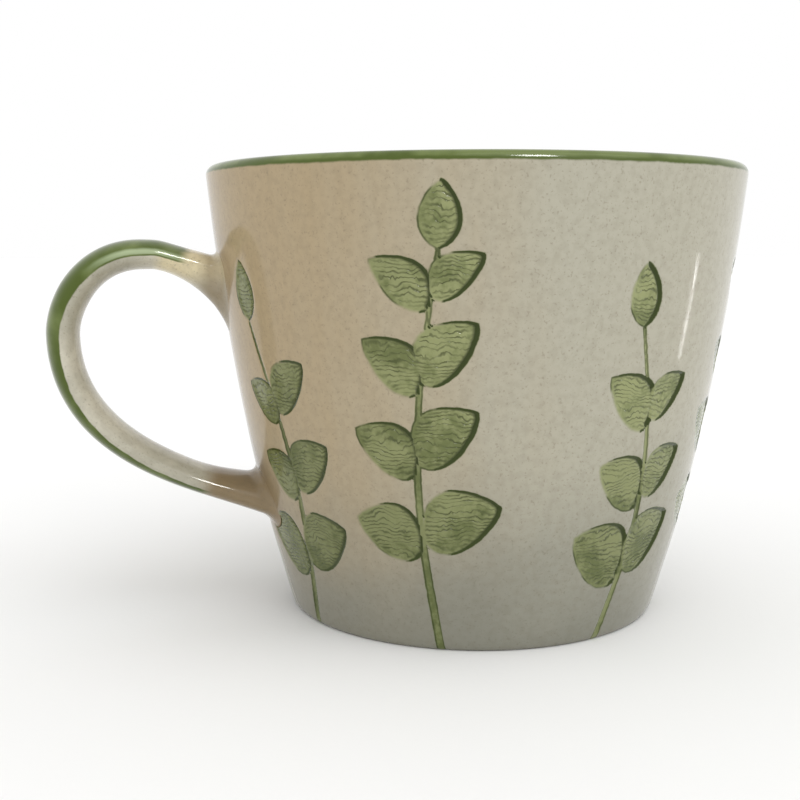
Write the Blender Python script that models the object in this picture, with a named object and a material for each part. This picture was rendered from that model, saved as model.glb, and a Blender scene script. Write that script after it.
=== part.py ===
"""Stoneware mug: a wide turned cup and a pulled strap handle, luted to it with slip at two joints.

Frame: metres, +Z up. The origin is on the cup's axis, in the plane that the foot stands on.
The handle points towards -X.
"""
import math

import bmesh
import bpy
import numpy as np

MM = 0.001
GAP = 0.35 * MM                 # left between neighbouring pieces

# Cup. Outline points are (radius, height).
HEIGHT = 80.0 * MM
LIP_RADIUS = 1.7 * MM           # the rim is rolled to a full round
LIP_CENTRE = 46.78 * MM         # radius of the circle that the round is centred on
WALL_CURVE = [(36.27 * MM, 9.0 * MM), (41.2 * MM, 25.7 * MM), (46.0 * MM, 53.2 * MM), (48.45 * MM, 78.0 * MM)]
HEEL_CURVE = [(33.0 * MM, 0.0), (34.0 * MM, 0.0), (34.2 * MM, 1.5 * MM), WALL_CURVE[0]]
FLOOR_TOP = 6.5 * MM
FLOOR_RADIUS = 20.0 * MM        # flat part of the floor inside
WALL_TOP_THICKNESS = 3.4 * MM
WALL_BASE_THICKNESS = 4.6 * MM
FOOT_RING_INNER = 27.0 * MM     # the foot is trimmed to a ring round a shallow recess
RECESS_DEPTH = 0.6 * MM
CUP_SEGMENTS = 64

# Handle. Centre line points are (reach from the cup's axis, height).
UPPER_ROOT = (48.9 * MM, 62.2 * MM)
UPPER_SLOPE = math.radians(14)
CROWN = (59.9 * MM, 64.5 * MM)
BOW = (73.7 * MM, 50.7 * MM)
LOWER_ROOT = (43.5 * MM, 21.75 * MM)
LOWER_SLOPE = math.radians(20)
ROOT_RUN = 7.0 * MM             # straight run from each root into the wall
STRAP_SHARES = [0.0, 0.35, 0.6, 1.0]                # where along the strap its sizes are given
STRAP_THICKNESS = [4.5 * MM, 5.8 * MM, 5.6 * MM, 4.6 * MM]
STRAP_WIDTH = [10.0 * MM, 11.5 * MM, 12.0 * MM, 12.5 * MM]
UPPER_FLARE = 4.3 * MM          # both roots deepen, on the side of the finger gap
LOWER_FLARE = 2.2 * MM
LOWER_SPREAD = 2.0 * MM         # the lower root also widens, at each edge
UPPER_FLARE_RUN = 11.0 * MM
LOWER_FLARE_RUN = 14.0 * MM
STRAP_SIDES = 28
STRAP_STATIONS = 34
ROOT_STATIONS = 6
CAP_RINGS = [0.6, 0.25]

# Slip joints: the fillets smoothed round the handle's roots
JOINT_EDGE = 0.25 * MM          # thickness left at a fillet's thin edges
UPPER_JOINT_TOE = (1.2 * MM, 2.6 * MM)      # spread over the wall, above and below the root
LOWER_JOINT_TOE = (1.3 * MM, 1.5 * MM)      # below and above
UPPER_JOINT_RISE = (1.2 * MM, 2.6 * MM)     # climb along the strap, on the same two sides
LOWER_JOINT_RISE = (1.6 * MM, 1.7 * MM)
FILLET_STEPS = 5

CLAY_GLAZE = (0.445, 0.397, 0.296)
HANDLE_GLAZE = (0.412, 0.372, 0.285)
SLIP_GLAZE = (0.365, 0.310, 0.215)


def bezier(points, steps):
    """Points along a cubic Bezier curve, both ends included."""
    a, b, c, d = (np.array(point) for point in points)
    t = np.linspace(0.0, 1.0, steps + 1)[:, None]
    return (1 - t) ** 3 * a + 3 * (1 - t) ** 2 * t * b + 3 * (1 - t) * t ** 2 * c + t ** 3 * d


def along(point, slope, length):
    """The point reached from another by going outwards along a slope."""
    return (point[0] + length * math.cos(slope), point[1] + length * math.sin(slope))


OUTER_WALL = bezier(WALL_CURVE, 80)


def wall_radius(height):
    """Outer radius of the cup at a height."""
    return np.interp(height, OUTER_WALL[:, 1], OUTER_WALL[:, 0])


def inner_wall(steps):
    """The inside of the wall: the outer wall moved in, and thicker towards the base."""
    outer = bezier(WALL_CURVE, steps)
    slope = np.gradient(outer, axis=0)
    slope /= np.linalg.norm(slope, axis=1)[:, None]
    inward = np.stack([-slope[:, 1], slope[:, 0]], axis=1)
    thickness = np.linspace(WALL_BASE_THICKNESS, WALL_TOP_THICKNESS, steps + 1)
    return outer + inward * thickness[:, None]


def cup_outline():
    """Half section: from the floor's middle inside, over the lip, to the middle of the foot."""
    inside = inner_wall(9)[1:-1]
    corner_top = inside[0]
    corner = bezier([(FLOOR_RADIUS, FLOOR_TOP), (0.5 * (FLOOR_RADIUS + corner_top[0]) + 4 * MM, FLOOR_TOP),
                     (corner_top[0] - 1.6 * MM, corner_top[1] - 5 * MM), corner_top], 6)
    lean = math.atan2(WALL_CURVE[3][0] - WALL_CURVE[2][0], WALL_CURVE[3][1] - WALL_CURVE[2][1])
    turns = np.linspace(math.pi - lean, -lean, 9)
    lip = np.stack([LIP_CENTRE + LIP_RADIUS * np.cos(turns),
                    HEIGHT - LIP_RADIUS + LIP_RADIUS * np.sin(turns)], axis=1)
    outside = bezier(WALL_CURVE, 9)[::-1][1:]
    heel = bezier(HEEL_CURVE, 6)[::-1][1:]
    foot = [(FOOT_RING_INNER, 0.0), (FOOT_RING_INNER - RECESS_DEPTH, RECESS_DEPTH), (0.0, RECESS_DEPTH)]
    return np.vstack([[(0.0, FLOOR_TOP)], corner[:-1], inside, lip, outside, heel, foot])


def centre_line():
    """The handle's centre line, with a straight run into the wall at each root."""
    start = along(UPPER_ROOT, UPPER_SLOPE, -ROOT_RUN)
    end = along(LOWER_ROOT, LOWER_SLOPE, -ROOT_RUN)
    rise = bezier([UPPER_ROOT, along(UPPER_ROOT, UPPER_SLOPE, 9.5 * MM), (CROWN[0] - 3.7 * MM, CROWN[1]), CROWN], 24)
    shoulder = bezier([CROWN, (CROWN[0] + 10.1 * MM, CROWN[1]), (BOW[0], BOW[1] + 4.3 * MM), BOW], 40)
    sweep = bezier([BOW, (BOW[0], BOW[1] - 19.0 * MM), along(LOWER_ROOT, LOWER_SLOPE, 11.5 * MM), LOWER_ROOT], 60)
    return np.vstack([np.linspace(start, UPPER_ROOT, 8), rise[1:], shoulder[1:], sweep[1:],
                      np.linspace(LOWER_ROOT, end, 8)[1:]])


LINE = centre_line()
LINE_STATION = np.concatenate([[0.0], np.cumsum(np.linalg.norm(np.diff(LINE, axis=0), axis=1))])
LINE_LENGTH = LINE_STATION[-1]
LINE_TANGENT = np.gradient(LINE, LINE_STATION, axis=0)


def fade(distance, run):
    """One at zero distance, falling smoothly to nothing at the run."""
    return max(0.0, 1.0 - distance / run) ** 2


def strap_point(station, theta, grow=0.0, scale=1.0):
    """A point of the strap's surface. theta is 0 at the outer face and pi at the inner face."""
    centre = [np.interp(station, LINE_STATION, LINE[:, axis]) for axis in (0, 1)]
    tangent = [np.interp(station, LINE_STATION, LINE_TANGENT[:, axis]) for axis in (0, 1)]
    length = math.hypot(*tangent)
    normal = (-tangent[1] / length, tangent[0] / length)
    share = station / LINE_LENGTH
    depth = np.interp(share, STRAP_SHARES, STRAP_THICKNESS) / 2
    across = np.interp(share, STRAP_SHARES, STRAP_WIDTH) / 2
    from_upper = station - ROOT_RUN / 2
    from_lower = LINE_LENGTH - ROOT_RUN / 2 - station
    lower = fade(from_lower, LOWER_FLARE_RUN)
    flare = UPPER_FLARE * fade(from_upper, UPPER_FLARE_RUN) + LOWER_FLARE * lower
    depth += flare if math.cos(theta) < 0 else 0.0
    across += LOWER_SPREAD * lower
    out = scale * depth * math.cos(theta)
    side = scale * across * math.sin(theta)
    reach = math.hypot(out, side)
    if reach > 0:
        out += grow * out / reach
        side += grow * side / reach
    return (-(centre[0] + normal[0] * out), side, centre[1] + normal[1] * out)


def wall_station(theta, inside, outside, grow=0.0, scale=1.0):
    """The station where a line along the strap comes to the wall, leaving the gap."""
    for _ in range(30):
        middle = (inside + outside) / 2
        x, y, z = strap_point(middle, theta, grow, scale)
        if math.hypot(x, y) > wall_radius(z) + GAP:
            outside = middle
        else:
            inside = middle
    return outside


ANGLES = [math.tau * step / STRAP_SIDES for step in range(STRAP_SIDES)]
UPPER_END = (0.0, ROOT_RUN + 4 * MM)                                # a station in the wall, and one clear of it
LOWER_END = (LINE_LENGTH, LINE_LENGTH - ROOT_RUN - 4 * MM)


def root_rings(end):
    """Rings from the middle of the strap's end face, out to its edge and along to its plain part."""
    inside, outside = end
    rings = [[strap_point(wall_station(theta, inside, outside, scale=scale), theta, scale=scale)
              for theta in ANGLES] for scale in reversed(CAP_RINGS)]
    for step in range(ROOT_STATIONS + 1):
        ring = []
        for theta in ANGLES:
            edge = wall_station(theta, inside, outside)
            ring.append(strap_point(edge + (outside - edge) * step / ROOT_STATIONS, theta))
        rings.append(ring)
    middle = strap_point(wall_station(0.0, inside, outside, scale=0.0), 0.0, scale=0.0)
    return middle, rings


def new_object(name, mesh, colour, roughness):
    """An object in the scene with a glaze of its own."""
    material = bpy.data.materials.new(name)
    material.use_nodes = True
    shader = material.node_tree.nodes["Principled BSDF"]
    shader.inputs["Base Color"].default_value = (*colour, 1.0)
    shader.inputs["Roughness"].default_value = roughness
    shader.inputs["Metallic"].default_value = 0.0
    mesh.materials.append(material)
    mesh.shade_smooth()
    mesh.set_sharp_from_angle(angle=math.radians(50))
    piece = bpy.data.objects.new(name, mesh)
    bpy.context.collection.objects.link(piece)
    return piece


def skin(name, loops, closed, tips=()):
    """A mesh over loops of equal length. It is closed into a ring, or ended by a tip at each end."""
    surface = bmesh.new()
    rows = [[surface.verts.new(point) for point in loop] for loop in loops]
    pairs = list(zip(rows, rows[1:]))
    if closed:
        pairs.append((rows[-1], rows[0]))
    for row, following in pairs:
        for index, vertex in enumerate(row):
            after = (index + 1) % len(row)
            surface.faces.new((vertex, row[after], following[after], following[index]))
    for tip, row in zip(tips, (rows[0], rows[-1])):
        point = surface.verts.new(tip)
        for index, vertex in enumerate(row):
            surface.faces.new((vertex, row[(index + 1) % len(row)], point))
    bmesh.ops.recalc_face_normals(surface, faces=surface.faces)
    mesh = bpy.data.meshes.new(name)
    surface.to_mesh(mesh)
    surface.free()
    return mesh


def make_cup():
    """The turned cup: its half section spun round the axis."""
    outline = cup_outline()
    mesh = bpy.data.meshes.new("cup_body")
    mesh.from_pydata([(radius, 0.0, height) for radius, height in outline],
                     [(step, step + 1) for step in range(len(outline) - 1)], [])
    cup = new_object("cup_body", mesh, CLAY_GLAZE, 0.22)
    spin = cup.modifiers.new("turned", "SCREW")
    spin.axis = "Z"
    spin.steps = CUP_SEGMENTS
    spin.render_steps = CUP_SEGMENTS
    spin.use_merge_vertices = True
    spin.merge_threshold = 0.00001
    spin.use_smooth_shade = True


def make_handle():
    """The strap, its ends shaped to the wall."""
    upper_tip, upper = root_rings(UPPER_END)
    lower_tip, lower = root_rings(LOWER_END)
    stations = np.linspace(UPPER_END[1], LOWER_END[1], STRAP_STATIONS)[1:-1]
    plain = [[strap_point(station, theta) for theta in ANGLES] for station in stations]
    mesh = skin("handle", upper + plain + lower[::-1], closed=False, tips=(upper_tip, lower_tip))
    new_object("handle", mesh, HANDLE_GLAZE, 0.18)


def make_slip_joint(name, end, toe, rise):
    """A fillet of slip round one root, clear of the strap and of the wall."""
    inside, outside = end
    away = math.copysign(1.0, outside - inside)
    loops = []
    for theta in ANGLES:
        blend = (1 + math.cos(theta)) / 2
        spread = toe[1] + (toe[0] - toe[1]) * blend - GAP - JOINT_EDGE
        climb = rise[1] + (rise[0] - rise[1]) * blend - JOINT_EDGE
        turns = [math.pi / 2 * step / FILLET_STEPS for step in range(FILLET_STEPS + 1)]
        section = [(GAP, 0.0), (GAP, climb / 2), (GAP, climb + JOINT_EDGE)]
        section += [(GAP + JOINT_EDGE + spread * (1 - math.cos(turn)), JOINT_EDGE + climb * (1 - math.sin(turn)))
                    for turn in turns]
        section += [(GAP + JOINT_EDGE + spread, 0.0), (GAP + spread / 2, 0.0)]
        loop = []
        for grow, lift in section:
            foot = wall_station(theta, inside, outside, grow)
            loop.append(strap_point(foot + away * lift, theta, grow))
        loops.append(loop)
    new_object(name, skin(name, loops, closed=True), SLIP_GLAZE, 0.2)


for old in list(bpy.data.objects):
    bpy.data.objects.remove(old)
make_cup()
make_handle()
make_slip_joint("upper_slip_joint", UPPER_END, UPPER_JOINT_TOE, UPPER_JOINT_RISE)
make_slip_joint("lower_slip_joint", LOWER_END, LOWER_JOINT_TOE, LOWER_JOINT_RISE)
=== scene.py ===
import math

import bpy
import numpy as np
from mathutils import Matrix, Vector


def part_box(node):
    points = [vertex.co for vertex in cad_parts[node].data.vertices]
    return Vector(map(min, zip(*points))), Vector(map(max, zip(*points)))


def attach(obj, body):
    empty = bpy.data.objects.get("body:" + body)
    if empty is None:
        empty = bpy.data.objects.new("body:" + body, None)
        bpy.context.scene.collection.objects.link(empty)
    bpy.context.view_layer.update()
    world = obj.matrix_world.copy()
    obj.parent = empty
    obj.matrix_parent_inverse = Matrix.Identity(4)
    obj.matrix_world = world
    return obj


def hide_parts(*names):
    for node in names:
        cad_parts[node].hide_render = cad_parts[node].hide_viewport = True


# Looks of the stoneware mug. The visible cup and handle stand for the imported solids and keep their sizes.
# Shapes are worked out in millimetres of the CAD cup, which is 80 mm high, and scaled to the frame.
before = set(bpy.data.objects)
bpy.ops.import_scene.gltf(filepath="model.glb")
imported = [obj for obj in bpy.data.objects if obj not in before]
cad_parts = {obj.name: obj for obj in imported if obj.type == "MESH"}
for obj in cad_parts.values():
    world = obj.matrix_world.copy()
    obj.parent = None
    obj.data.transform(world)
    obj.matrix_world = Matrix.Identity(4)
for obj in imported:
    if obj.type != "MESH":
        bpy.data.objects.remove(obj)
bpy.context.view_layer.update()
CUP_LOW, CUP_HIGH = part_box("cup_body")
HEIGHT = 80.0
METRES = (CUP_HIGH[2] - CUP_LOW[2]) / HEIGHT
RIM_REACH = CUP_HIGH[0] / METRES
HANDLE_REACH = -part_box("handle")[0][0] / METRES
JUST_INSIDE = 0.9999             # share of the CAD sizes that the visible shapes reach

# Cup outline, as (radius, height)
LIP_RADIUS = 1.7
LIP_CENTRE = 46.78
WALL_CURVE = [(36.27, 9.0), (41.2, 25.7), (46.0, 53.2), (48.45, 78.0)]
HEEL_CURVE = [(33.0, 0.0), (34.0, 0.0), (34.2, 1.5), WALL_CURVE[0]]
FLOOR_TOP = 6.5
FLOOR_RADIUS = 20.0
WALL_TOP_THICKNESS = 3.4
WALL_BASE_THICKNESS = 4.6
FOOT_RING_INNER = 27.0
RECESS_DEPTH = 0.6
AROUND = 840                    # columns of the cup's mesh
ROW = 0.34                      # row spacing on the decorated outside
PLAIN_ROW = 2.0                 # and on the inside and the foot

# Decoration: distances round the cup are measured on a cylinder of this radius
PATTERN_RADIUS = 42.0
RECESS = 0.22                   # how deep a leaf is pressed in
GROOVE = 0.24                   # extra depth where the glaze pools along one edge
THIN_EDGE = 0.38                # width of a leaf's dark outline, away from the pooled edge
POOLED_EDGE = (0.36, 0.23)      # width along the pooled edge: a base, and a share of the leaf's half width
POOLED_MOST = 1.2
POOLED_SHARE = 0.75             # and never more than this share of the half width
SOFT_EDGE = 0.65                # a leaf's green fades in over this width, away from the pooled edge
SMALL_LEAF = 1.7                # leaves with a smaller half width have hard outlines all round
HARD_EDGE = 0.15                # the same on small leaves and stems, and along the pooled edge
STEM_DEEPEST = 0.5              # stems count as no deeper than this, which keeps the veins off them
PLAIN = -3.0                    # distance stored where there is no leaf
BARE_HEEL = 0.9                 # the pattern stops this far above the table
BAND_HEIGHT = 2.25              # green band, down from the top of the lip
BAND_INSIDE = 1.2

# Handle centre line, as (reach from the axis, height), and the strap's sizes along it
UPPER_ROOT = (48.9, 62.2)
UPPER_SLOPE = math.radians(14)
CROWN = (59.9, 64.5)
BOW = (73.7, 50.7)
LOWER_ROOT = (43.5, 21.75)
LOWER_SLOPE = math.radians(20)
ROOT_RUN = 7.0
STRAP_SHARES = [0.0, 0.35, 0.6, 1.0]
STRAP_THICKNESS = [4.5, 5.8, 5.6, 4.6]
STRAP_WIDTH = [10.0, 11.5, 12.0, 12.5]
UPPER_FLARE = 4.3
LOWER_FLARE = 2.2
LOWER_SPREAD = 2.0
UPPER_FLARE_RUN = 11.0
LOWER_FLARE_RUN = 14.0
UPPER_FILLET = (1.6, 3.0)       # spread over the wall, at the strap's outer and inner face
LOWER_FILLET = (2.0, 2.2)
FILLET_SINK = 0.12              # the fillet's edge runs just under the wall's glaze
FILLET_ROWS = 14
STRAP_ROWS = 250
STRAP_SIDES = 96
STRIPE_SHARES = [0.0, 0.3, 0.5, 0.75, 1.0]
STRIPE_REACH = [92, 99, 82, 72, 66]  # degrees round the strap from its outer face, at those shares
STRIPE_PER_DEGREE = 0.08         # millimetres across the strap for each degree round it
STRIPE_START = 0.115             # share of the strap where the brush was set down
STRIPE_END = 0.86


def bezier(points, steps):
    """Points along a cubic Bezier curve, both ends included."""
    a, b, c, d = (np.array(point) for point in points)
    t = np.linspace(0.0, 1.0, steps + 1)[:, None]
    return (1 - t) ** 3 * a + 3 * (1 - t) ** 2 * t * b + 3 * (1 - t) * t ** 2 * c + t ** 3 * d


def spaced(points, step):
    """The same line with points at an even spacing."""
    points = np.array(points)
    length = np.concatenate([[0.0], np.cumsum(np.linalg.norm(np.diff(points, axis=0), axis=1))])
    places = np.linspace(0.0, length[-1], max(2, round(length[-1] / step)) + 1)
    return np.stack([np.interp(places, length, points[:, axis]) for axis in (0, 1)], axis=1)


def smooth(value):
    """Zero below 0, one above 1, and a smooth step between."""
    value = np.clip(value, 0.0, 1.0)
    return value * value * (3 - 2 * value)


OUTER_WALL = bezier(WALL_CURVE, 120)


def wall_radius(height):
    """Outer radius of the cup at a height."""
    return np.interp(height, OUTER_WALL[:, 1], OUTER_WALL[:, 0])


# Plain eucalyptus sprigs, pressed into the wall. The stems stand evenly round the cup, clear of the handle.
# Each has its tip's height and how far it sways to the right. The two beside the handle are short.
SPRIGS = [(64, 5), (76, -3), (64, 4), (76, -3), (62, 4), (76, -4), (70, 3), (58, -6)]
STEM_FOOT = -2.0                # below the foot, so that the stem runs off the wall
STEM_POINTS = 16
STEM_SWAYS = 1.1                # half waves from foot to tip
STEM_HALF_WIDTH = (0.9, 0.35)   # at the foot, and at the tip
FIRST_PAIR = 11.0               # height of the lowest pair, and half a spacing more on every second stem
PAIR_SPACING = 13.0
PAIR_STAGGER = 1.6              # the right leaf of a pair starts this much higher
LEAF_LENGTH = (15.0, 10.5)
LEAF_HALF_WIDTH = (0.39, 0.29)  # shares of the leaf's length
LEAF_SPREAD = (68.0, 38.0)      # degrees between a leaf and its stem
LEAF_DROOP = 0.09               # how far a leaf's midrib bows, as a share of its length
LEAF_BLUNTNESS = 0.72           # 1 gives pointed ends, and less gives rounder ones
LEAF_FULLEST = 0.85             # under 1, the leaf is widest nearer to its stem
LEAF_STEPS = 16
LEAF_UNEVENNESS = (0.12, 7.0)   # share of the size, and degrees, by which leaves differ
HANDLE_ROUND = -math.pi / 2 * PATTERN_RADIUS      # the handle's place round the cup, on -X
LEAF_POOLING = 10.0             # the glaze pools along the leaves' right edges, this many degrees up
UPRIGHT = 90.0                  # the direction of a leaf that points straight up, in degrees
SPRIG_SEED = 5


def part_way(ends, share):
    """The value at a share of the way from the first end to the second."""
    return ends[0] + (ends[1] - ends[0]) * share


def leaf_outline(foot, direction, length, half_width, droop):
    """A blunt oval leaf with a bowed midrib, as a closed line that starts at its foot."""
    share = np.linspace(0.0, 1.0, LEAF_STEPS + 1)
    midrib = droop * np.sin(math.pi * share)
    half = half_width * np.clip(np.sin(math.pi * share ** LEAF_FULLEST), 0.0, 1.0) ** LEAF_BLUNTNESS
    left = np.stack([length * share, midrib + half], axis=1)
    right = np.stack([length * share, midrib - half], axis=1)
    turn = math.radians(direction)
    turning = np.array([[math.cos(turn), math.sin(turn)], [-math.sin(turn), math.cos(turn)]])
    return np.array(foot) + np.vstack([left, right[-2:0:-1]]) @ turning


def sprig(middle, tip, sway, first_pair, random):
    """A stem with leaves in pairs, smaller and steeper towards the tip, and one leaf on the tip."""
    top = tip - LEAF_LENGTH[1]

    def stem_place(height):
        share = (height - STEM_FOOT) / (top - STEM_FOOT)
        return middle + sway * math.sin(STEM_SWAYS * math.pi * share), share

    stem = []
    for height in np.linspace(STEM_FOOT, top, STEM_POINTS):
        across, share = stem_place(height)
        stem.append((across, height, part_way(STEM_HALF_WIDTH, share)))
    tip_half_width = LEAF_HALF_WIDTH[1] * LEAF_LENGTH[1]
    leaves = [leaf_outline(stem[-1][:2], UPRIGHT + sway, LEAF_LENGTH[1], tip_half_width, 0.0)]
    for pair_height in np.arange(first_pair, top - PAIR_SPACING / 3, PAIR_SPACING):
        for side in (-1, 1):
            height = pair_height + PAIR_STAGGER * (side + 1) / 2
            across, share = stem_place(height)
            length = part_way(LEAF_LENGTH, share) * (1 + LEAF_UNEVENNESS[0] * random.uniform(-1, 1))
            spread = part_way(LEAF_SPREAD, share) + LEAF_UNEVENNESS[1] * random.uniform(-1, 1)
            leaves.append(leaf_outline((across, height), UPRIGHT - side * spread, length,
                                       part_way(LEAF_HALF_WIDTH, share) * length, side * LEAF_DROOP * length))
    return leaves, stem


def segment_distance(places, start, end):
    """Distance from places to a segment, and how far along it each place's nearest point is."""
    run = end - start
    share = np.clip((places - start) @ run / max(run @ run, 1e-9), 0.0, 1.0)
    return np.linalg.norm(places - start - share[:, None] * run, axis=1), share


def leaf_depth(places, outline):
    """Distance inside a leaf's outline, negative outside it."""
    nearest = np.full(len(places), 1e9)
    inside = np.zeros(len(places), dtype=bool)
    for start, end in zip(outline, np.roll(outline, -1, axis=0)):
        nearest = np.minimum(nearest, segment_distance(places, start, end)[0])
        spans = (start[1] > places[:, 1]) != (end[1] > places[:, 1])
        with np.errstate(divide="ignore", invalid="ignore"):
            cross = start[0] + (places[:, 1] - start[1]) * (end[0] - start[0]) / (end[1] - start[1])
        inside ^= spans & (places[:, 0] < cross)
    return np.where(inside, nearest, -nearest)


def stem_depth(places, stem):
    """Distance inside a stem, whose points are (distance round, height, half width)."""
    deepest = np.full(len(places), -1e9)
    for first, second in zip(stem, stem[1:]):
        distance, share = segment_distance(places, np.array(first[:2]), np.array(second[:2]))
        deepest = np.maximum(deepest, first[2] + (second[2] - first[2]) * share - distance)
    return np.minimum(deepest, STEM_DEEPEST)


def press_shape(shape, columns, heights):
    """Rows and columns of the wall near a shape, and the distance inside it there."""
    girth = math.tau * PATTERN_RADIUS
    places = np.array(shape)[:, :2]
    low, high = places.min(axis=0) + PLAIN, places.max(axis=0) - PLAIN
    middle = (low[0] + high[0]) / 2
    across = (columns - middle + girth / 2) % girth - girth / 2 + middle
    near_columns = np.flatnonzero((across > low[0]) & (across < high[0]))
    near_rows = np.flatnonzero((heights > low[1]) & (heights < high[1]))
    grid = np.stack(np.meshgrid(across[near_columns], heights[near_rows]), axis=-1).reshape(-1, 2)
    depth_of = stem_depth if len(shape[0]) == 3 else leaf_depth
    return np.ix_(near_rows, near_columns), depth_of(grid, shape).reshape(len(near_rows), len(near_columns))


def press_pattern(heights):
    """Fields over the wall: distance inside the pattern, its dark edge's width and its green's soft edge."""
    girth = math.tau * PATTERN_RADIUS
    columns = (np.arange(AROUND) / AROUND - 0.5) * girth
    field = np.full((len(heights), AROUND), PLAIN)
    pool_width = np.full_like(field, THIN_EDGE)
    softest = np.full_like(field, HARD_EDGE)
    random = np.random.default_rng(SPRIG_SEED)
    spacing = girth / len(SPRIGS)
    for number, (tip, sway) in enumerate(SPRIGS):
        middle = HANDLE_ROUND + (number + 0.5) * spacing
        first_pair = FIRST_PAIR + number % 2 * PAIR_SPACING / 2
        leaves, stem = sprig(middle, tip, sway, first_pair, random)
        for shape in leaves + [stem]:
            window, depth = press_shape(shape, columns, heights)
            deeper = depth > field[window]
            half_width = max(THIN_EDGE, depth.max())
            widest = min(POOLED_MOST, POOLED_EDGE[0] + POOLED_EDGE[1] * half_width, POOLED_SHARE * half_width)
            field[window] = np.where(deeper, depth, field[window])
            pool_width[window] = np.where(deeper, widest, pool_width[window])
            fade_width = SOFT_EDGE if half_width > SMALL_LEAF else HARD_EDGE
            softest[window] = np.where(deeper, fade_width, softest[window])
    step_round = girth / AROUND
    slope_round = (np.roll(field, -1, axis=1) - np.roll(field, 1, axis=1)) / (2 * step_round)
    slope_up = np.gradient(field, heights, axis=0)
    size = np.hypot(slope_round, slope_up) + 1e-6
    toward = math.radians(LEAF_POOLING)
    facing = -(slope_round * math.cos(toward) + slope_up * math.sin(toward)) / size
    pooled = smooth((facing + 0.3) / 1.2)
    edge = THIN_EDGE + (pool_width - THIN_EDGE) * pooled
    soft = softest + (HARD_EDGE - softest) * pooled
    return field, edge, soft


def relief(field, edge, soft, height):
    """Depth pressed into the wall: a shallow recess, and a groove along the dark edge."""
    groove = smooth(1.0 - np.abs(2 * field / edge - 1.0))
    pressed = RECESS * smooth(field / (2 * soft + 0.3)) + GROOVE * smooth(edge / POOLED_MOST) * groove
    return pressed * smooth((height - BARE_HEEL) / BARE_HEEL)


def inner_wall():
    """The inside of the wall, thicker towards the base."""
    outer = bezier(WALL_CURVE, 60)
    slope = np.gradient(outer, axis=0)
    slope /= np.linalg.norm(slope, axis=1)[:, None]
    inward = np.stack([-slope[:, 1], slope[:, 0]], axis=1)
    thickness = np.linspace(WALL_BASE_THICKNESS, WALL_TOP_THICKNESS, len(outer))
    return outer + inward * thickness[:, None]


def cup_outline():
    """Half section from the floor's middle over the lip to the foot, and where the decorated part starts."""
    inside = inner_wall()
    corner_top = inside[7]
    corner = bezier([(FLOOR_RADIUS, FLOOR_TOP), (0.5 * (FLOOR_RADIUS + corner_top[0]) + 4, FLOOR_TOP),
                     (corner_top[0] - 1.6, corner_top[1] - 5), corner_top], 30)
    floor = np.stack([np.linspace(0.3, FLOOR_RADIUS, 12), np.full(12, FLOOR_TOP)], axis=1)
    lean = math.atan2(WALL_CURVE[3][0] - WALL_CURVE[2][0], WALL_CURVE[3][1] - WALL_CURVE[2][1])
    turns = np.linspace(math.pi - lean, -lean, 60)
    lip = np.stack([LIP_CENTRE + LIP_RADIUS * np.cos(turns),
                    HEIGHT - LIP_RADIUS + LIP_RADIUS * np.sin(turns)], axis=1)
    within = np.vstack([floor[:-1], spaced(corner, PLAIN_ROW)[:-1], spaced(inside[7:-2], PLAIN_ROW)])
    outside = np.vstack([lip[30:], OUTER_WALL[::-1][1:], bezier(HEEL_CURVE, 40)[::-1][1:]])
    foot = [(30.0, 0.0), (FOOT_RING_INNER, 0.0), (FOOT_RING_INNER - RECESS_DEPTH, RECESS_DEPTH),
            (14.0, RECESS_DEPTH), (0.3, RECESS_DEPTH)]
    over = np.vstack([within, spaced(lip[:31], 0.25)[:-1]])
    return np.vstack([over, spaced(outside, ROW), foot]), len(over), len(foot)


def add_field(mesh, name, values):
    """Stores one number at each vertex, for the material to read."""
    mesh.attributes.new(name, "FLOAT", "POINT").data.foreach_set("value", np.ravel(values).astype(np.float32))


def grid_mesh(name, points):
    """A mesh over rows of points. The columns close into rings, and a fan fills each end ring."""
    rows, columns = points.shape[:2]
    index = np.arange(rows * columns).reshape(rows, columns)
    ahead = np.roll(index, -1, axis=1)
    quads = np.stack([index[:-1], index[1:], ahead[1:], ahead[:-1]], axis=-1).reshape(-1, 4).tolist()
    ends = [index[0].tolist(), index[-1][::-1].tolist()]
    mesh = bpy.data.meshes.new(name)
    mesh.from_pydata((points.reshape(-1, 3) * METRES).tolist(), [], quads + ends)
    mesh.shade_smooth()
    piece = bpy.data.objects.new(name, mesh)
    bpy.context.collection.objects.link(piece)
    return piece


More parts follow.
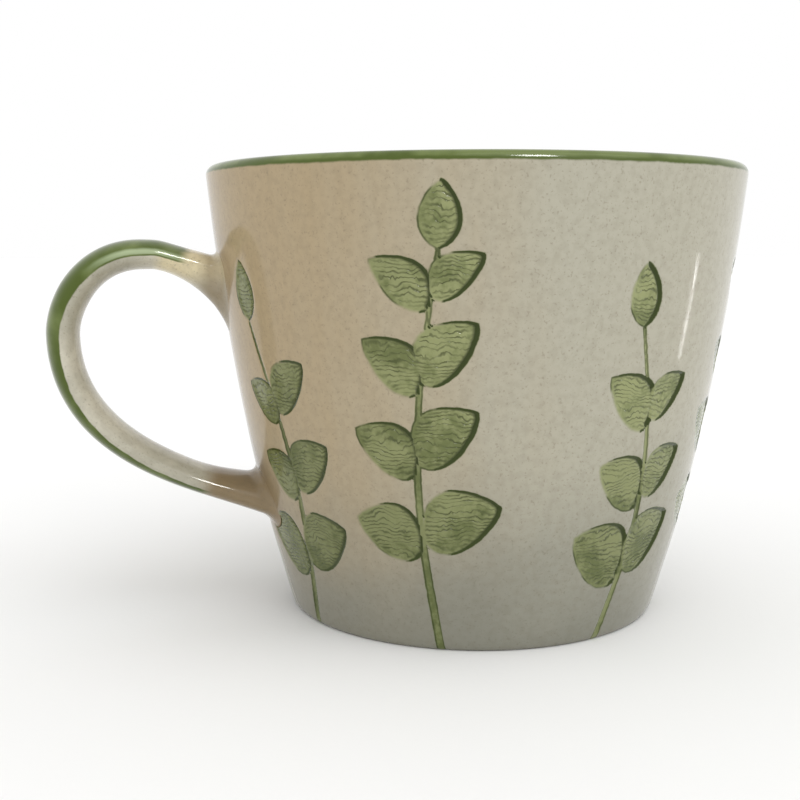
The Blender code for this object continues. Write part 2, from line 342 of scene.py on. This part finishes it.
def make_cup():
    """The cup, with the leaves pressed into its wall."""
    outline, first, last = cup_outline()
    outline[:, 0] *= JUST_INSIDE * RIM_REACH / outline[:, 0].max()
    slope = np.gradient(outline, axis=0)
    slope /= np.linalg.norm(slope, axis=1)[:, None]
    inward = np.stack([slope[:, 1], -slope[:, 0]], axis=1)
    wall = slice(first, len(outline) - last)
    upwards = slice(None, None, -1)
    field, edge, soft = np.full((3, len(outline), AROUND), 1.0)
    field[:] = PLAIN
    for values, pressed in zip((field, edge, soft), press_pattern(outline[wall, 1][upwards])):
        values[wall] = pressed[upwards]
    depth = relief(field, edge, soft, outline[:, 1:])
    turn = (np.arange(AROUND) / AROUND - 0.5) * math.tau
    radius = outline[:, :1] + inward[:, :1] * depth
    height = outline[:, 1:] + inward[:, 1:] * depth
    points = np.stack([radius * np.sin(turn), -radius * np.cos(turn), height], axis=-1)
    cup = grid_mesh("glazed_cup", points)
    travelled = np.concatenate([[0.0], np.cumsum(np.linalg.norm(np.diff(outline, axis=0), axis=1))])
    top = travelled[first]
    band = np.minimum(travelled - (top - BAND_INSIDE), top + BAND_HEIGHT - travelled)
    add_field(cup.data, "leaf", field)
    add_field(cup.data, "edge", edge)
    add_field(cup.data, "soft", soft)
    add_field(cup.data, "band", np.repeat(band, AROUND))
    add_field(cup.data, "bare", np.repeat(np.arange(len(outline)) >= len(outline) - last, AROUND))
    add_field(cup.data, "outside", np.repeat(np.arange(len(outline)) >= first, AROUND))
    return cup


def along(point, slope, length):
    """The point reached from another by going outwards along a slope."""
    return (point[0] + length * math.cos(slope), point[1] + length * math.sin(slope))


def centre_line():
    """The handle's centre line, with a straight run into the wall at each root."""
    start = along(UPPER_ROOT, UPPER_SLOPE, -ROOT_RUN)
    end = along(LOWER_ROOT, LOWER_SLOPE, -ROOT_RUN)
    rise = bezier([UPPER_ROOT, along(UPPER_ROOT, UPPER_SLOPE, 9.5), (CROWN[0] - 3.7, CROWN[1]), CROWN], 60)
    shoulder = bezier([CROWN, (CROWN[0] + 10.1, CROWN[1]), (BOW[0], BOW[1] + 4.3), BOW], 120)
    sweep = bezier([BOW, (BOW[0], BOW[1] - 19), along(LOWER_ROOT, LOWER_SLOPE, 11.5), LOWER_ROOT], 160)
    return np.vstack([np.linspace(start, UPPER_ROOT, 20), rise[1:], shoulder[1:], sweep[1:],
                      np.linspace(LOWER_ROOT, end, 20)[1:]])


LINE = centre_line()
LINE_STATION = np.concatenate([[0.0], np.cumsum(np.linalg.norm(np.diff(LINE, axis=0), axis=1))])
LINE_LENGTH = LINE_STATION[-1]
LINE_TANGENT = np.gradient(LINE, LINE_STATION, axis=0)
UPPER_BROWN = ROOT_RUN + 0.5    # the glaze is browner from these stations to the wall
LOWER_BROWN = LINE_LENGTH - ROOT_RUN - 7
UPPER_END = (0.0, ROOT_RUN + 4)
LOWER_END = (LINE_LENGTH, LINE_LENGTH - ROOT_RUN - 4)


def fade(distance, run):
    """One at zero distance, falling smoothly to nothing at the run."""
    return np.clip(1.0 - distance / run, 0.0, None) ** 2


def strap(station, theta):
    """Points of the strap's surface. theta is 0 at the outer face and pi at the inner face."""
    centre = [np.interp(station, LINE_STATION, LINE[:, axis]) for axis in (0, 1)]
    tangent = [np.interp(station, LINE_STATION, LINE_TANGENT[:, axis]) for axis in (0, 1)]
    length = np.hypot(*tangent)
    normal = (-tangent[1] / length, tangent[0] / length)
    share = station / LINE_LENGTH
    lower = fade(LINE_LENGTH - ROOT_RUN / 2 - station, LOWER_FLARE_RUN)
    flare = UPPER_FLARE * fade(station - ROOT_RUN / 2, UPPER_FLARE_RUN) + LOWER_FLARE * lower
    depth = np.interp(share, STRAP_SHARES, STRAP_THICKNESS) / 2
    depth = depth + np.where(np.cos(theta) < 0, flare, 0.0)
    across = np.interp(share, STRAP_SHARES, STRAP_WIDTH) / 2 + LOWER_SPREAD * lower
    out = depth * np.cos(theta)
    side = across * np.sin(theta)
    return np.stack([-(centre[0] + normal[0] * out), side, centre[1] + normal[1] * out], axis=-1)


def wall_station(theta, end):
    """The station where a line along the strap comes to the cup's wall."""
    inside, outside = (np.full(len(theta), float(place)) for place in end)
    for _ in range(30):
        middle = (inside + outside) / 2
        points = strap(middle, theta)
        clear = np.hypot(points[:, 0], points[:, 1]) > wall_radius(points[:, 2])
        outside = np.where(clear, middle, outside)
        inside = np.where(clear, inside, middle)
    return outside


def fillet(theta, end, spread):
    """Rows of points from a fillet's edge under the wall up to the strap, and the last row's stations."""
    reach = spread[1] + (spread[0] - spread[1]) * (1 + np.cos(theta)) / 2
    meeting = wall_station(theta, end)
    station = meeting + math.copysign(1.0, end[1] - end[0]) * reach
    corner = strap(meeting, theta)
    top = strap(station, theta)
    azimuth = np.arctan2(corner[:, 0], -corner[:, 1])
    flat = np.stack([azimuth * PATTERN_RADIUS, corner[:, 2]], axis=1)
    flat[:, 0] = np.unwrap(flat[:, 0], period=math.tau * PATTERN_RADIUS)
    run = np.roll(flat, -1, axis=0) - np.roll(flat, 1, axis=0)
    outward = np.stack([run[:, 1], -run[:, 0]], axis=1) / np.linalg.norm(run, axis=1)[:, None]
    if np.sum(outward * (flat - flat.mean(axis=0))) < 0:
        outward = -outward
    toe = flat + outward * reach[:, None]
    turn = toe[:, 0] / PATTERN_RADIUS
    radius = wall_radius(toe[:, 1]) - FILLET_SINK
    foot = np.stack([radius * np.sin(turn), -radius * np.cos(turn), toe[:, 1]], axis=1)
    rows = [(1 - t) ** 2 * foot + 2 * t * (1 - t) * corner + t ** 2 * top
            for t in np.linspace(0, 1, FILLET_ROWS)]
    return rows, station


def make_handle():
    """The pulled strap, run smoothly into the wall at both roots."""
    theta = np.arange(STRAP_SIDES) / STRAP_SIDES * math.tau
    upper, start = fillet(theta, UPPER_END, UPPER_FILLET)
    lower, end = fillet(theta, LOWER_END, LOWER_FILLET)
    shares = np.linspace(0.0, 1.0, STRAP_ROWS)[1:-1, None]
    plain = start + (end - start) * shares
    middle = [strap(stations, theta) for stations in plain]
    points = np.array(upper + middle + lower[::-1])
    points[..., 0] *= -JUST_INSIDE * HANDLE_REACH / points[..., 0].min()
    handle = grid_mesh("glazed_handle", points)
    stations = np.vstack([np.tile(start, (FILLET_ROWS, 1)), plain, np.tile(end, (FILLET_ROWS, 1))])
    share = stations / LINE_LENGTH
    turned = np.degrees(np.abs((theta + math.pi) % math.tau - math.pi))
    reach = np.interp(share, STRIPE_SHARES, STRIPE_REACH)
    beside = (reach - turned) * STRIPE_PER_DEGREE
    ends = np.minimum(share - STRIPE_START, STRIPE_END - share) * LINE_LENGTH
    add_field(handle.data, "stripe", beside)
    add_field(handle.data, "stripe_end", ends)
    add_field(handle.data, "root", np.maximum(UPPER_BROWN - stations, stations - LOWER_BROWN))
    return handle


class Material:
    """One node material, with short names for the nodes that it is made of."""

    def __init__(self, name):
        self.material = bpy.data.materials.new(name)
        self.material.use_nodes = True
        self.tree = self.material.node_tree
        self.shader = self.tree.nodes["Principled BSDF"]

    def node(self, kind, inputs, output=0, **settings):
        """Adds a node. An input is a value, or another node's output to link."""
        node = self.tree.nodes.new(kind)
        for key, value in settings.items():
            setattr(node, key, value)
        for key, value in inputs.items():
            if isinstance(value, bpy.types.NodeSocket):
                self.tree.links.new(value, node.inputs[key])
            else:
                node.inputs[key].default_value = value
        return node.outputs[output]

    def place(self, scale):
        """Position on the object, stretched by a scale for each axis."""
        position = self.node("ShaderNodeTexCoord", {}, output="Object")
        return self.node("ShaderNodeMapping", {"Vector": position, "Scale": scale})

    def axis(self, place, name):
        """One coordinate of a place."""
        return self.node("ShaderNodeSeparateXYZ", {"Vector": place}, output=name)

    def field(self, name):
        """A number that the mesh stores at each vertex."""
        return self.node("ShaderNodeAttribute", {}, output="Fac", attribute_name=name)

    def noise(self, place, scale, detail=2.0, distortion=0.0):
        return self.node("ShaderNodeTexNoise", {"Vector": place, "Scale": scale, "Detail": detail,
                                                "Distortion": distortion})

    def maths(self, operation, first, second=0.0, third=0.0):
        return self.node("ShaderNodeMath", {0: first, 1: second, 2: third}, operation=operation)

    def step(self, value, low, high, start=0.0, end=1.0):
        """A smooth change from start to end as the value goes from low to high."""
        inputs = {"Value": value, "From Min": low, "From Max": high, "To Min": start, "To Max": end}
        return self.node("ShaderNodeMapRange", inputs, interpolation_type="SMOOTHSTEP")

    def mix(self, share, first, second, blend="MIX"):
        """Mixes two colours."""
        return self.node("ShaderNodeMix", {"Factor": share, 6: first, 7: second}, output=2,
                         data_type="RGBA", blend_type=blend)

    def finish(self, colour, roughness, height, depth):
        """Links the surface's colour, roughness and fine relief to the shader."""
        self.shader.inputs["Specular IOR Level"].default_value = SHEEN
        self.tree.links.new(colour, self.shader.inputs["Base Color"])
        self.tree.links.new(roughness, self.shader.inputs["Roughness"])
        bump = self.node("ShaderNodeBump", {"Height": height, "Distance": depth, "Strength": 1.0})
        self.tree.links.new(bump, self.shader.inputs["Normal"])
        return self.material


CREAM = (0.44, 0.42, 0.335, 1)
# painted warm light, laid on the handle's side of the cup
CREAM_PAINTED_WARM_LIGHT = (0.4, 0.3, 0.17, 1)
# painted shade, greying the cup towards the foot
CREAM_PAINTED_SHADE = (0.23, 0.23, 0.19, 1)
CREAM_PALE = (0.6, 0.57, 0.465, 1)
# painted highlight on the top of the strap near the upper root
CREAM_PAINTED_HIGHLIGHT = (0.75, 0.66, 0.44, 1)
SPECK = (0.16, 0.13, 0.085, 1)
LEAF_LIGHT = (0.285, 0.31, 0.135, 1)
LEAF_MID = (0.137, 0.165, 0.052, 1)
LEAF_DARK = (0.036, 0.051, 0.008, 1)
BAND_GREEN = (0.075, 0.105, 0.018, 1)
STRIPE_LIGHT = (0.15, 0.19, 0.06, 1)
# painted highlight along the green stroke over the handle's crown
STRIPE_PAINTED_HIGHLIGHT = (0.42, 0.5, 0.3, 1)
JOINT_BROWN = (0.24, 0.175, 0.095, 1)
BARE_CLAY = (0.36, 0.28, 0.19, 1)
SHEEN = 0.22                                        # how strongly a glaze mirrors what is straight ahead
PER_METRE = (1 / METRES, 1 / METRES, 1 / METRES)    # texture places in millimetres
PEEL_SHARE = 0.12                                   # how much of the fine relief is orange peel
FINE_RELIEF = 0.1 * METRES


def mottled(look, place, ground):
    """Fine mottling and specks of the clay, under any ground colour."""
    ground = look.mix(look.step(look.noise(place, 0.8, 4), 0.35, 0.75, 0.0, 0.17), ground, SPECK)
    return look.mix(look.step(look.noise(place, 2.4, 2), 0.58, 0.72, 0.0, 0.3), ground, SPECK)


def around_root(look, place, root):
    """One on the wall beside a root of the handle, fading out around it."""
    wall = Vector((-wall_radius(root[1]), 0.0, root[1]))
    offset = look.node("ShaderNodeVectorMath", {0: place, 1: wall}, operation="SUBTRACT")
    stretched = look.node("ShaderNodeVectorMath", {0: offset, 1: (1.0, 1.0, 1.5)}, operation="MULTIPLY")
    distance = look.node("ShaderNodeVectorMath", {0: stretched}, output="Value", operation="LENGTH")
    return look.step(distance, 17.0, 9.0)


def cup_ground(look, place):
    """The cup's cream glaze: outside, painted warm light on the handle's side and painted shade greying it
    towards the foot.
    """
    spread = look.axis(place, "X")
    rise = look.axis(place, "Z")
    cloud = look.maths("MULTIPLY_ADD", look.noise(place, 0.05, 3), 24.0, -12.0)
    # painted warm light on the handle's side, its edge broken into vertical streaks
    warm_light_streaks = look.noise(look.place((0.2 / METRES, 0.2 / METRES, 0.03 / METRES)), 1.0, 3)
    warm_light_place = look.maths("ADD", spread, look.maths("MULTIPLY_ADD", warm_light_streaks, 16.0, -8.0))
    outside = look.field("outside")
    painted_warm_light = look.step(warm_light_place, 8.0, -46.0, 0.0, 0.9)
    ground = look.mix(look.maths("MULTIPLY", painted_warm_light, outside), CREAM, CREAM_PAINTED_WARM_LIGHT)
    # painted shade: the outside greyer towards the foot
    painted_foot_shade = look.step(look.maths("ADD", rise, cloud), 42.0, -2.0, 0.0, 0.9)
    ground = look.mix(look.maths("MULTIPLY", painted_foot_shade, outside), ground, CREAM_PAINTED_SHADE)
    lower = look.maths("MULTIPLY", around_root(look, place, LOWER_ROOT), 0.95)
    upper = look.maths("MULTIPLY", around_root(look, place, UPPER_ROOT), 0.3)
    browned = look.maths("MULTIPLY", look.maths("MAXIMUM", lower, upper), outside)
    return mottled(look, place, look.mix(browned, ground, JOINT_BROWN))


def handle_ground(look, place, wander):
    """The handle's paler cream glaze, browner where it meets the cup, with a painted highlight on the strap's
    top near the upper root.
    """
    cloud = look.step(look.noise(place, 0.09, 3), 0.35, 0.65)
    ground = look.mix(cloud, CREAM_PALE, CREAM)
    rise = look.axis(place, "Z")
    # painted highlight: a pale yellow patch on top of the strap, near the upper root
    near_joint = look.step(look.maths("ADD", look.field("root"), wander), -9.5, -6.5)
    painted_root_highlight = look.maths("MULTIPLY", near_joint, look.step(rise, 58.0, 62.0))
    ground = look.mix(painted_root_highlight, ground, CREAM_PAINTED_HIGHLIGHT)
    deepest = look.step(rise, 30.0, 55.0, 0.95, 0.7)
    at_root = look.step(look.maths("ADD", look.field("root"), wander), -2.0, 2.4)
    brown = look.maths("MULTIPLY", at_root, deepest)
    return mottled(look, place, look.mix(brown, ground, JOINT_BROWN))


def glaze_skin(look, place):
    """Roughness and orange-peel height of a glossy glaze."""
    roughness = look.step(look.noise(place, 0.12, 3), 0.3, 0.7, 0.07, 0.13)
    peel = look.noise(place, 0.4, 2)
    return roughness, peel


def vein_lines(look, place, field):
    """Wavy broken lines across the leaves, a little under a millimetre apart and bolder beside the edges."""
    rise = look.axis(place, "Z")
    sway = look.noise(look.place((0.16 / METRES, 0.16 / METRES, 0.2 / METRES)), 1.0, 1)
    jag = look.noise(look.place((0.7 / METRES, 0.7 / METRES, 0.45 / METRES)), 1.0, 1)
    phase = look.maths("MULTIPLY_ADD", sway, 4.0, look.maths("MULTIPLY_ADD", jag, 1.1, rise))
    fine_jag = look.noise(look.place((1.7 / METRES, 1.7 / METRES, 1.0 / METRES)), 1.0, 1)
    phase = look.maths("MULTIPLY_ADD", fine_jag, 0.5, phase)
    apart = look.maths("PINGPONG", look.maths("MULTIPLY", phase, 1.3), 0.5)
    broken = look.noise(look.place((0.35 / METRES, 0.35 / METRES, 1.1 / METRES)), 1.0, 2)
    bold = look.step(field, 0.4, 2.2, 1.5, 0.8)
    width = look.maths("MULTIPLY", look.step(broken, 0.35, 0.65, 0.07, 0.4), bold)
    line = look.step(look.maths("DIVIDE", apart, width), 0.1, 1.0, 1.0, 0.0)
    return look.maths("MULTIPLY", line, look.step(look.noise(place, 0.4, 2), 0.3, 0.65, 0.35, 1.0))


def leaf_layer(look, place, ground):
    """Green glaze in the pressed leaves, dark in the veins and where it pools along the edges, with painted
    shade darkening them towards the handle's side and towards the foot.
    """
    ragged = look.maths("MULTIPLY_ADD", look.noise(place, 0.7, 3), 0.3, -0.15)
    field = look.maths("ADD", look.field("leaf"), ragged)
    edge_width = look.field("edge")
    drawn = look.step(look.noise(place, 0.14, 2), 0.44, 0.58, 0.1, 0.9)
    softness = look.maths("MULTIPLY", look.field("soft"), look.maths("MULTIPLY_ADD", drawn, -0.85, 1.0))
    tint = look.step(field, -0.1, softness)
    edge = look.step(look.maths("DIVIDE", field, edge_width), 0.55, 1.0, 1.0, 0.0)
    edge = look.maths("MULTIPLY", edge, look.step(field, -0.08, 0.12))
    outlined = look.maths("MAXIMUM", drawn, look.step(look.field("soft"), 0.35, 0.16, 0.0, 0.7))
    edge = look.maths("MULTIPLY", edge, look.maths("MAXIMUM", outlined, look.step(edge_width, 0.38, 0.5)))
    veins = look.maths("MULTIPLY", vein_lines(look, place, field), look.step(field, 0.45, 0.9))
    wash = look.maths("MULTIPLY_ADD", look.noise(place, 1.1, 3), 0.4, look.noise(place, 0.14, 3))
    leaf = look.mix(look.step(wash, 0.58, 0.86), LEAF_LIGHT, LEAF_MID)
    spread = look.axis(place, "X")
    rise = look.axis(place, "Z")
    # painted shade: leaves darker towards the handle's side
    leaf = look.mix(look.step(spread, -8.0, -40.0, 0.0, 0.34), leaf, LEAF_DARK)
    # painted shade: leaves darker towards the foot
    leaf = look.mix(look.step(rise, 46.0, 16.0, 0.0, 0.26), leaf, LEAF_DARK)
    leaf = look.mix(look.maths("MULTIPLY", veins, 0.75), leaf, LEAF_DARK)
    leaf = look.mix(edge, leaf, LEAF_DARK)
    cover = look.maths("MAXIMUM", look.maths("MULTIPLY", tint, 0.94), edge)
    return look.mix(cover, ground, leaf), look.maths("MULTIPLY", veins, tint)


def cup_material():
    """Cream glaze, with green glaze in the pressed leaves and on the lip, and a bare foot ring."""
    look = Material("cup_glaze_look")
    place = look.place(PER_METRE)
    colour, veins = leaf_layer(look, place, cup_ground(look, place))
    unsteady = look.maths("MULTIPLY_ADD", look.noise(place, 0.3, 3), 0.5, -0.25)
    brushed = look.maths("ADD", look.field("band"), unsteady)
    patches = look.step(look.noise(place, 0.12, 3), 0.35, 0.6)
    thin = look.maths("MULTIPLY", look.step(brushed, 0.3, 0.9), patches)
    colour = look.mix(look.step(brushed, -0.2, 0.2), colour, look.mix(thin, BAND_GREEN, STRIPE_LIGHT))
    bare = look.field("bare")
    colour = look.mix(bare, colour, BARE_CLAY)
    roughness, peel = glaze_skin(look, place)
    roughness = look.maths("MAXIMUM", roughness, look.maths("MULTIPLY", bare, 0.8))
    height = look.maths("MULTIPLY_ADD", veins, -1.0, look.maths("MULTIPLY", peel, PEEL_SHARE))
    return look.finish(colour, roughness, height, FINE_RELIEF)


def handle_material():
    """The same cream glaze, browner at the roots, with one green brush stroke down the outer face and painted
    highlights over the crown and near the upper root.
    """
    look = Material("handle_glaze_look")
    place = look.place(PER_METRE)
    wander = look.maths("MULTIPLY_ADD", look.noise(place, 0.25, 3), 1.2, -0.6)
    ground = handle_ground(look, place, wander)
    beside = look.maths("ADD", look.field("stripe"), wander)
    streaks = look.noise(look.place((0.1 / METRES, 0.5 / METRES, 0.25 / METRES)), 1.0, 2)
    ends = look.maths("ADD", look.field("stripe_end"), look.maths("MULTIPLY_ADD", streaks, 3.0, -1.5))
    stroke = look.maths("MULTIPLY", look.step(beside, -0.12, 0.3), look.step(ends, -0.8, 1.6))
    wash = look.step(look.noise(place, 0.16, 3), 0.22, 0.6)
    green = look.mix(wash, STRIPE_LIGHT, BAND_GREEN)
    rise = look.axis(place, "Z")
    # painted highlight: a pale band beside the stroke's edge, over the crown
    beside_edge = look.maths("MULTIPLY", look.step(beside, 0.3, 0.9), look.step(beside, 2.8, 1.6))
    painted_crown_highlight = look.maths("MULTIPLY", beside_edge, look.step(rise, 61.0, 65.5, 0.0, 0.85))
    green = look.mix(painted_crown_highlight, green, STRIPE_PAINTED_HIGHLIGHT)
    colour = look.mix(stroke, ground, green)
    roughness, peel = glaze_skin(look, place)
    return look.finish(colour, roughness, look.maths("MULTIPLY", peel, PEEL_SHARE), FINE_RELIEF)


def floor_material():
    """Pale matt plaster with a faint grain."""
    look = Material("floor_look")
    place = look.place((1.0, 1.0, 1.0))
    colour = look.mix(look.noise(place, 6.0, 4), (0.86, 0.86, 0.86, 1), (0.90, 0.90, 0.89, 1))
    roughness = look.step(look.noise(place, 9.0, 2), 0.3, 0.7, 0.7, 0.85)
    return look.finish(colour, roughness, look.noise(place, 800.0, 2), 0.00003)


FLOOR_REACH = 4.0                   # metres


def make_floor():
    """A wide pale floor at the height that the mug stands on."""
    mesh = bpy.data.meshes.new("floor")
    corners = [(-FLOOR_REACH, -FLOOR_REACH, 0), (FLOOR_REACH, -FLOOR_REACH, 0),
               (FLOOR_REACH, FLOOR_REACH, 0), (-FLOOR_REACH, FLOOR_REACH, 0)]
    mesh.from_pydata(corners, [], [(0, 1, 2, 3)])
    floor = bpy.data.objects.new("floor", mesh)
    floor.location.z = CUP_LOW[2]
    bpy.context.collection.objects.link(floor)
    mesh.materials.append(floor_material())


VIEW_AZIMUTH = math.radians(-15)    # the camera stands this far round from the front, towards the handle
CAMERA_DISTANCE = 221.6             # millimetres from the cup's axis
CAMERA_HEIGHT = 67.1
AIM_LEFT = 0.0609                   # radians off the axis, and down
AIM_DOWN = 0.1346
LENS = 53.4


def make_camera():
    """A close camera a little below the rim, aimed between the cup and the handle."""
    camera = bpy.data.objects.new("camera", bpy.data.cameras.new("camera"))
    bpy.context.collection.objects.link(camera)
    camera.data.lens = LENS
    camera.data.sensor_width = 36
    camera.data.clip_start = 0.01
    camera.location = Vector((math.sin(VIEW_AZIMUTH) * CAMERA_DISTANCE,
                              -math.cos(VIEW_AZIMUTH) * CAMERA_DISTANCE,
                              CAMERA_HEIGHT)) * METRES
    heading = -VIEW_AZIMUTH - AIM_LEFT
    aim = Vector((math.sin(heading) * math.cos(AIM_DOWN), math.cos(heading) * math.cos(AIM_DOWN),
                  -math.sin(AIM_DOWN)))
    camera.rotation_euler = aim.to_track_quat("-Z", "Y").to_euler()
    bpy.context.scene.camera = camera


def area_light(name, place, target, size, power, colour):
    """A soft rectangular light aimed at a point."""
    light = bpy.data.lights.new(name, "AREA")
    light.shape = "RECTANGLE"
    light.size, light.size_y = size
    light.energy = power
    light.color = colour
    lamp = bpy.data.objects.new(name, light)
    lamp.location = place
    lamp.rotation_euler = (Vector(target) - Vector(place)).to_track_quat("-Z", "Y").to_euler()
    bpy.context.collection.objects.link(lamp)
    return lamp


SURROUND = 1.0                      # brightness of the white surround
SUN = 0.7
SUN_SPREAD = math.radians(60)       # wide, so that the shadows are soft
SUN_DIRECTION = (-0.35, 0.6, -1.0)
WINDOW_PLACE = (0.16, -0.56, 0.74)  # metres, and so are the lamps' other places and sizes
WINDOW_AIM = (0.0, 0.0, 0.04)
WINDOW_SIZE = (0.18, 0.2)
WINDOW_WATTS = 6.5
WINDOW_COLOUR = (1.0, 0.99, 0.97)
STRIP_PLACE = (0.12, -0.031, 0.037)
STRIP_AIM = (0.0, -0.04, 0.037)
STRIP_SIZE = (0.0006, 0.029)
STRIP_WATTS = 0.0025
STRIP_COLOUR = (1.0, 1.0, 1.0)


def make_light():
    """A white surround, a soft sun, and two lamps that are only seen as reflections in the glaze."""
    world = bpy.data.worlds.new("studio")
    bpy.context.scene.world = world
    world.use_nodes = True
    world.node_tree.nodes["Background"].inputs["Color"].default_value = (1, 1, 1, 1)
    world.node_tree.nodes["Background"].inputs["Strength"].default_value = SURROUND
    window = area_light("window", WINDOW_PLACE, WINDOW_AIM, WINDOW_SIZE, WINDOW_WATTS, WINDOW_COLOUR)
    strip = area_light("strip", STRIP_PLACE, STRIP_AIM, STRIP_SIZE, STRIP_WATTS, STRIP_COLOUR)
    for lamp in (window, strip):
        lamp.visible_diffuse = False
        lamp.visible_camera = False
    sun = bpy.data.lights.new("soft_key", "SUN")
    sun.energy = SUN
    sun.angle = SUN_SPREAD
    lamp = bpy.data.objects.new("soft_key", sun)
    lamp.rotation_euler = Vector(SUN_DIRECTION).to_track_quat("-Z", "Y").to_euler()
    bpy.context.collection.objects.link(lamp)
    bpy.context.scene.view_settings.view_transform = "Standard"
    bpy.context.scene.view_settings.look = "None"


make_camera()
make_light()
make_floor()
cup = make_cup()
cup.data.materials.append(cup_material())
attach(cup, "root")
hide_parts("cup_body")
handle = make_handle()
handle.data.materials.append(handle_material())
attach(handle, "root")
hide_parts("handle", "upper_slip_joint", "lower_slip_joint")
